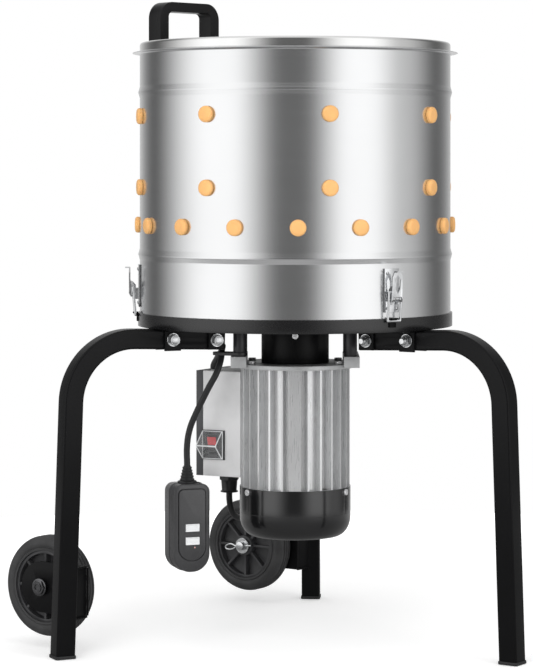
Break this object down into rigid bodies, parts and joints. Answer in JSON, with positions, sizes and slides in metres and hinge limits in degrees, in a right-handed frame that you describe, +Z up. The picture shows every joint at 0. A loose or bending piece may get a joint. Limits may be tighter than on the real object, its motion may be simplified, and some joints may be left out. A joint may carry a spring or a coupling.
{
  "type": "drum poultry plucker",
  "caption": "Upright drum poultry plucker on bent tube legs with wheels, rubber fingers, a driven feather plate, a motor and a plug lead.",
  "frame": {"origin": "on the ground, in the middle of the footprint of the legs and wheels", "axes": "+Z up; +Y towards the handle and the two wheels; the single front leg points to -Y; the machine stands symmetric about X"},
  "size_m": [0.589, 0.6226, 0.828],
  "materials": {
    "black_paint": "satin black powder coat",
    "brushed_drum": "brushed stainless sheet",
    "polished_ring": "polished stainless",
    "finger_rubber": "translucent natural rubber",
    "zinc": "bright zinc plate",
    "steel_gear": "machined steel",
    "tyre_rubber": "matt black rubber",
    "wheel_plastic": "moulded black plastic",
    "cast_alloy": "light grey cast aluminium",
    "fin_alloy": "extruded aluminium",
    "black_plastic": "moulded black plastic",
    "grey_plastic": "light grey box",
    "dark_plastic": "dark grey lid",
    "copper": "enamelled copper and steel core",
    "boot_clear": "clear silicone",
    "rocker_red": "red and black rocker",
    "button_white": "white buttons",
    "lead_rubber": "black lead sheath",
    "latch_steel": "bright steel",
    "white_can": "capacitor can"
  },
  "bodies": {
    "frame": {"base_tray": "black_paint", "leg_front": "black_paint", "leg_right": "black_paint", "leg_left": "black_paint", "leg_cleats": "black_paint", "leg_bolts": "zinc", "foot_caps": "black_plastic", "axle_bolts": "zinc", "axle_clips": "zinc", "drum_shell": "brushed_drum", "splash_ring": "polished_ring", "drum_fingers": "finger_rubber", "outlet_duct": "black_paint", "gearbox_housing": "black_paint", "bearings": "steel_gear", "motor_shield": "cast_alloy", "motor_body": "fin_alloy", "stator": "copper", "end_shield": "cast_alloy", "fan_cover": "black_plastic", "small_screws": "zinc", "standoffs": "black_paint", "standoff_bolts": "zinc", "junction_box": "grey_plastic", "box_lid": "dark_plastic", "capacitor": "white_can", "switch_body": "black_plastic", "switch_boot": "boot_clear", "cable_gland": "black_plastic", "handle": "black_plastic", "handle_bracket": "black_paint", "latch_bases": "latch_steel", "latch_keepers": "black_paint", "lead_upper": "lead_rubber", "lead_coil": "lead_rubber", "lead_lower": "lead_rubber", "cable_ties": "black_plastic", "plug_body": "black_plastic", "plug_relief": "lead_rubber"},
    "wheel_right": {"wheel_hub_right": "wheel_plastic", "wheel_tyre_right": "tyre_rubber"},
    "wheel_left": {"wheel_hub_left": "wheel_plastic", "wheel_tyre_left": "tyre_rubber"},
    "plate": {"feather_plate": "brushed_drum", "plate_fingers": "finger_rubber", "plate_shaft": "steel_gear"},
    "planet_1": {"planet_gear_1": "steel_gear"},
    "planet_2": {"planet_gear_2": "steel_gear"},
    "planet_3": {"planet_gear_3": "steel_gear"},
    "rotor": {"rotor": "steel_gear", "cooling_fan": "black_plastic"},
    "lever_1": {"latch_lever_1": "latch_steel"},
    "lever_2": {"latch_lever_2": "latch_steel"},
    "lever_3": {"latch_lever_3": "latch_steel"},
    "bail_1": {"latch_bail_1": "latch_steel"},
    "bail_2": {"latch_bail_2": "latch_steel"},
    "bail_3": {"latch_bail_3": "latch_steel"},
    "rocker": {"switch_rocker": "rocker_red"},
    "test": {"test_button": "button_white"},
    "reset": {"reset_button": "button_white"}
  },
  "joints": [
    {"name": "wheel_right_spin", "type": "hinge", "parent": "frame", "child": "wheel_right", "pos_m": [0.2198, 0.24783, 0.077], "axis": [1, 0, 0], "continuous": true},
    {"name": "wheel_left_spin", "type": "hinge", "parent": "frame", "child": "wheel_left", "pos_m": [-0.2198, 0.24783, 0.077], "axis": [1, 0, 0], "continuous": true},
    {"name": "plate_spin", "type": "hinge", "parent": "frame", "child": "plate", "pos_m": [0, 0.02217, 0.428], "axis": [0, 0, 1], "continuous": true},
    {"name": "rotor_spin", "type": "hinge", "parent": "frame", "child": "rotor", "pos_m": [0, 0.02217, 0.27], "axis": [0, 0, 1], "continuous": true},
    {"name": "planet_1_spin", "type": "hinge", "parent": "plate", "child": "planet_1", "pos_m": [0, -0.00033, 0.3655], "axis": [0, 0, 1], "continuous": true},
    {"name": "planet_2_spin", "type": "hinge", "parent": "plate", "child": "planet_2", "pos_m": [0.01949, 0.03342, 0.3655], "axis": [0, 0, 1], "continuous": true},
    {"name": "planet_3_spin", "type": "hinge", "parent": "plate", "child": "planet_3", "pos_m": [-0.01949, 0.03342, 0.3655], "axis": [0, 0, 1], "continuous": true},
    {"name": "lever_1_swing", "type": "hinge", "parent": "frame", "child": "lever_1", "pos_m": [-0.07148, -0.17422, 0.4455], "axis": [0.9397, -0.342, 0], "range_deg": [0, 110]},
    {"name": "bail_1_swing", "type": "hinge", "parent": "lever_1", "child": "bail_1", "pos_m": [-0.07148, -0.17422, 0.4535], "axis": [0.9397, -0.342, 0], "range_deg": [-121, 0]},
    {"name": "lever_2_swing", "type": "hinge", "parent": "frame", "child": "lever_2", "pos_m": [0.20583, 0.05847, 0.4455], "axis": [-0.1736, 0.9848, 0], "range_deg": [0, 110]},
    {"name": "bail_2_swing", "type": "hinge", "parent": "lever_2", "child": "bail_2", "pos_m": [0.20583, 0.05847, 0.4535], "axis": [-0.1736, 0.9848, 0], "range_deg": [-121, 0]},
    {"name": "lever_3_swing", "type": "hinge", "parent": "frame", "child": "lever_3", "pos_m": [-0.13434, 0.18228, 0.4455], "axis": [-0.766, -0.6428, 0], "range_deg": [0, 110]},
    {"name": "bail_3_swing", "type": "hinge", "parent": "lever_3", "child": "bail_3", "pos_m": [-0.13434, 0.18228, 0.4535], "axis": [-0.766, -0.6428, 0], "range_deg": [-121, 0]},
    {"name": "switch_rock", "type": "hinge", "parent": "frame", "child": "rocker", "pos_m": [-0.05191, 0.11425, 0.2482], "axis": [-0.1045, 0.9945, 0], "range_deg": [0, 24]},
    {"name": "test_press", "type": "slide", "parent": "frame", "child": "test", "axis": [0.5592, 0.829, 0], "range_m": [0, 0.0015], "stiffness_N_per_m": 300},
    {"name": "reset_press", "type": "slide", "parent": "frame", "child": "reset", "axis": [0.5592, 0.829, 0], "range_m": [0, 0.0015], "stiffness_N_per_m": 300}
  ],
  "couplings": [
    {"joint": "rotor_spin", "follows": "plate_spin", "ratio": 5},
    {"joint": "planet_1_spin", "follows": "plate_spin", "ratio": -2.6667},
    {"joint": "planet_2_spin", "follows": "plate_spin", "ratio": -2.6667},
    {"joint": "planet_3_spin", "follows": "plate_spin", "ratio": -2.6667},
    {"joint": "bail_1_swing", "follows": "lever_1_swing", "ratio": -1.1},
    {"joint": "bail_2_swing", "follows": "lever_2_swing", "ratio": -1.1},
    {"joint": "bail_3_swing", "follows": "lever_3_swing", "ratio": -1.1}
  ]
}
